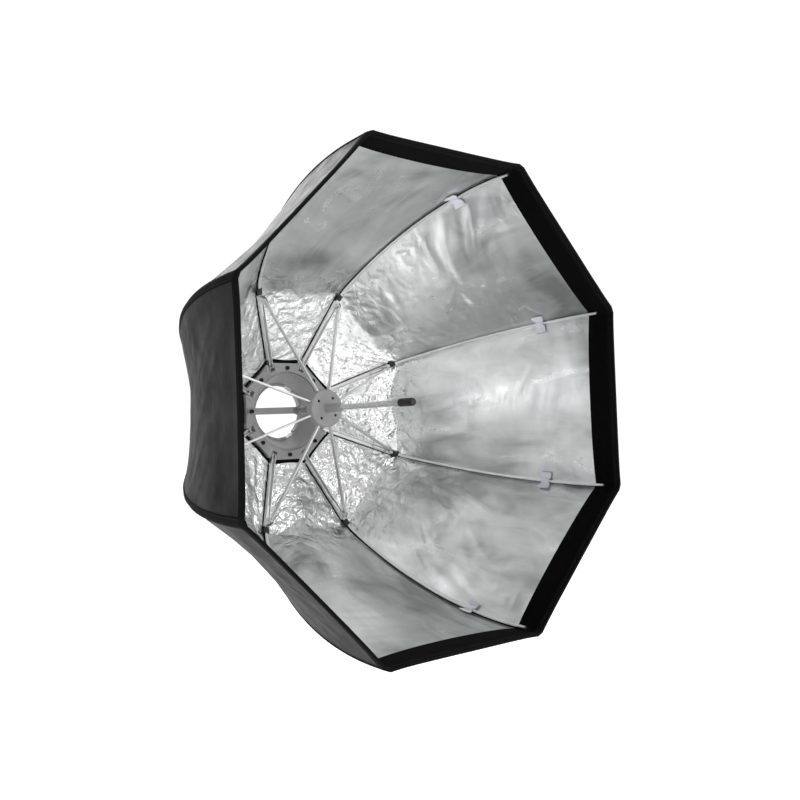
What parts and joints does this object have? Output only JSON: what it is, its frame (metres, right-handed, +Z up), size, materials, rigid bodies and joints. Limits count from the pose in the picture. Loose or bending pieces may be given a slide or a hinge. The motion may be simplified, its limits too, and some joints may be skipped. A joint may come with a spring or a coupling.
{
  "type": "studio softbox",
  "caption": "Octagonal umbrella-frame studio softbox with silver lining, eight ribs, sliding runner and a bayonet speed ring.",
  "frame": {"origin": "centre of the bayonet hole in the rear mounting face of the insert", "axes": "+Y points backward out of the mounting face, -Y forward through the mouth, +Z up, +X to the right as seen from the front"},
  "size_m": [0.7392, 0.5135, 0.7392],
  "materials": {
    "ring_paint": "satin grey paint",
    "insert_paint": "satin grey paint",
    "black_screw": "black oxide",
    "pin_steel": "bright steel",
    "bracket_steel": "zinc-plated strip",
    "shaft_steel": "satin tube",
    "black_plastic": "black moulding",
    "runner_plastic": "grey glass-filled moulding",
    "clip_plastic": "dark grey moulding",
    "channel_metal": "folded strip",
    "rod_metal": "plated rod",
    "stretcher_metal": "folded strip",
    "tab_fabric": "woven hook-and-loop tab",
    "canopy_fabric": "coated nylon, silver inside",
    "collar_fabric": "black nylon"
  },
  "bodies": {
    "ring": {"speed_ring": "ring_paint", "bayonet_insert": "insert_paint", "ring_screws": "black_screw", "rib_hinge_pins": "pin_steel", "shaft_bracket": "bracket_steel", "shaft": "shaft_steel", "shaft_tip": "black_plastic", "back_collar": "collar_fabric"},
    "runner": {"runner_front": "runner_plastic", "runner_back": "runner_plastic", "runner_screws": "black_screw", "runner_pins": "pin_steel"},
    "rib_1": {"rib_channel_1": "channel_metal", "rib_rod_1": "rod_metal", "rib_clip_1": "clip_plastic", "rib_tab_1": "tab_fabric", "canopy_gore_1": "canopy_fabric"},
    "stretcher_1": {"stretcher_1": "stretcher_metal"},
    "rib_2": {"rib_channel_2": "channel_metal", "rib_rod_2": "rod_metal", "rib_clip_2": "clip_plastic", "rib_tab_2": "tab_fabric", "canopy_gore_2": "canopy_fabric"},
    "stretcher_2": {"stretcher_2": "stretcher_metal"},
    "rib_3": {"rib_channel_3": "channel_metal", "rib_rod_3": "rod_metal", "rib_clip_3": "clip_plastic", "rib_tab_3": "tab_fabric", "canopy_gore_3": "canopy_fabric"},
    "stretcher_3": {"stretcher_3": "stretcher_metal"},
    "rib_4": {"rib_channel_4": "channel_metal", "rib_rod_4": "rod_metal", "rib_clip_4": "clip_plastic", "rib_tab_4": "tab_fabric", "canopy_gore_4": "canopy_fabric"},
    "stretcher_4": {"stretcher_4": "stretcher_metal"},
    "rib_5": {"rib_channel_5": "channel_metal", "rib_rod_5": "rod_metal", "rib_clip_5": "clip_plastic", "rib_tab_5": "tab_fabric", "canopy_gore_5": "canopy_fabric"},
    "stretcher_5": {"stretcher_5": "stretcher_metal"},
    "rib_6": {"rib_channel_6": "channel_metal", "rib_rod_6": "rod_metal", "rib_clip_6": "clip_plastic", "rib_tab_6": "tab_fabric", "canopy_gore_6": "canopy_fabric"},
    "stretcher_6": {"stretcher_6": "stretcher_metal"},
    "rib_7": {"rib_channel_7": "channel_metal", "rib_rod_7": "rod_metal", "rib_clip_7": "clip_plastic", "rib_tab_7": "tab_fabric", "canopy_gore_7": "canopy_fabric"},
    "stretcher_7": {"stretcher_7": "stretcher_metal"},
    "rib_8": {"rib_channel_8": "channel_metal", "rib_rod_8": "rod_metal", "rib_clip_8": "clip_plastic", "rib_tab_8": "tab_fabric", "canopy_gore_8": "canopy_fabric"},
    "stretcher_8": {"stretcher_8": "stretcher_metal"}
  },
  "joints": [
    {"name": "runner_slide", "type": "slide", "parent": "ring", "child": "runner", "axis": [0, -1, 0], "range_m": [0, 0.156]},
    {"name": "rib_fold_1", "type": "hinge", "parent": "ring", "child": "rib_1", "pos_m": [0.07982, -0.0413, 0.03306], "axis": [0.3827, 0, -0.9239], "range_deg": [0, 36.5], "deforming": ["canopy_gore_1"]},
    {"name": "stretcher_swing_1", "type": "hinge", "parent": "runner", "child": "stretcher_1", "pos_m": [0.02772, -0.1585, 0.01148], "axis": [-0.3827, 0, 0.9239], "range_deg": [0, 33.7]},
    {"name": "rib_fold_2", "type": "hinge", "parent": "ring", "child": "rib_2", "pos_m": [0.03306, -0.0413, 0.07982], "axis": [0.9239, 0, -0.3827], "range_deg": [0, 36.5], "deforming": ["canopy_gore_2"]},
    {"name": "stretcher_swing_2", "type": "hinge", "parent": "runner", "child": "stretcher_2", "pos_m": [0.01148, -0.1585, 0.02772], "axis": [-0.9239, 0, 0.3827], "range_deg": [0, 33.7]},
    {"name": "rib_fold_3", "type": "hinge", "parent": "ring", "child": "rib_3", "pos_m": [-0.03306, -0.0413, 0.07982], "axis": [0.9239, 0, 0.3827], "range_deg": [0, 36.5], "deforming": ["canopy_gore_3"]},
    {"name": "stretcher_swing_3", "type": "hinge", "parent": "runner", "child": "stretcher_3", "pos_m": [-0.01148, -0.1585, 0.02772], "axis": [-0.9239, 0, -0.3827], "range_deg": [0, 33.7]},
    {"name": "rib_fold_4", "type": "hinge", "parent": "ring", "child": "rib_4", "pos_m": [-0.07982, -0.0413, 0.03306], "axis": [0.3827, 0, 0.9239], "range_deg": [0, 36.5], "deforming": ["canopy_gore_4"]},
    {"name": "stretcher_swing_4", "type": "hinge", "parent": "runner", "child": "stretcher_4", "pos_m": [-0.02772, -0.1585, 0.01148], "axis": [-0.3827, 0, -0.9239], "range_deg": [0, 33.7]},
    {"name": "rib_fold_5", "type": "hinge", "parent": "ring", "child": "rib_5", "pos_m": [-0.07982, -0.0413, -0.03306], "axis": [-0.3827, 0, 0.9239], "range_deg": [0, 36.5], "deforming": ["canopy_gore_5"]},
    {"name": "stretcher_swing_5", "type": "hinge", "parent": "runner", "child": "stretcher_5", "pos_m": [-0.02772, -0.1585, -0.01148], "axis": [0.3827, 0, -0.9239], "range_deg": [0, 33.7]},
    {"name": "rib_fold_6", "type": "hinge", "parent": "ring", "child": "rib_6", "pos_m": [-0.03306, -0.0413, -0.07982], "axis": [-0.9239, 0, 0.3827], "range_deg": [0, 36.5], "deforming": ["canopy_gore_6"]},
    {"name": "stretcher_swing_6", "type": "hinge", "parent": "runner", "child": "stretcher_6", "pos_m": [-0.01148, -0.1585, -0.02772], "axis": [0.9239, 0, -0.3827], "range_deg": [0, 33.7]},
    {"name": "rib_fold_7", "type": "hinge", "parent": "ring", "child": "rib_7", "pos_m": [0.03306, -0.0413, -0.07982], "axis": [-0.9239, 0, -0.3827], "range_deg": [0, 36.5], "deforming": ["canopy_gore_7"]},
    {"name": "stretcher_swing_7", "type": "hinge", "parent": "runner", "child": "stretcher_7", "pos_m": [0.01148, -0.1585, -0.02772], "axis": [0.9239, 0, 0.3827], "range_deg": [0, 33.7]},
    {"name": "rib_fold_8", "type": "hinge", "parent": "ring", "child": "rib_8", "pos_m": [0.07982, -0.0413, -0.03306], "axis": [-0.3827, 0, -0.9239], "range_deg": [0, 36.5], "deforming": ["canopy_gore_8"]},
    {"name": "stretcher_swing_8", "type": "hinge", "parent": "runner", "child": "stretcher_8", "pos_m": [0.02772, -0.1585, -0.01148], "axis": [0.3827, 0, 0.9239], "range_deg": [0, 33.7]}
  ],
  "couplings": [
    {"joint": "rib_fold_1", "follows": "runner_slide", "rad_per_m": 4.0832},
    {"joint": "stretcher_swing_1", "follows": "runner_slide", "rad_per_m": 3.77},
    {"joint": "rib_fold_2", "follows": "runner_slide", "rad_per_m": 4.0832},
    {"joint": "stretcher_swing_2", "follows": "runner_slide", "rad_per_m": 3.77},
    {"joint": "rib_fold_3", "follows": "runner_slide", "rad_per_m": 4.0832},
    {"joint": "stretcher_swing_3", "follows": "runner_slide", "rad_per_m": 3.77},
    {"joint": "rib_fold_4", "follows": "runner_slide", "rad_per_m": 4.0832},
    {"joint": "stretcher_swing_4", "follows": "runner_slide", "rad_per_m": 3.77},
    {"joint": "rib_fold_5", "follows": "runner_slide", "rad_per_m": 4.0832},
    {"joint": "stretcher_swing_5", "follows": "runner_slide", "rad_per_m": 3.77},
    {"joint": "rib_fold_6", "follows": "runner_slide", "rad_per_m": 4.0832},
    {"joint": "stretcher_swing_6", "follows": "runner_slide", "rad_per_m": 3.77},
    {"joint": "rib_fold_7", "follows": "runner_slide", "rad_per_m": 4.0832},
    {"joint": "stretcher_swing_7", "follows": "runner_slide", "rad_per_m": 3.77},
    {"joint": "rib_fold_8", "follows": "runner_slide", "rad_per_m": 4.0832},
    {"joint": "stretcher_swing_8", "follows": "runner_slide", "rad_per_m": 3.77}
  ]
}
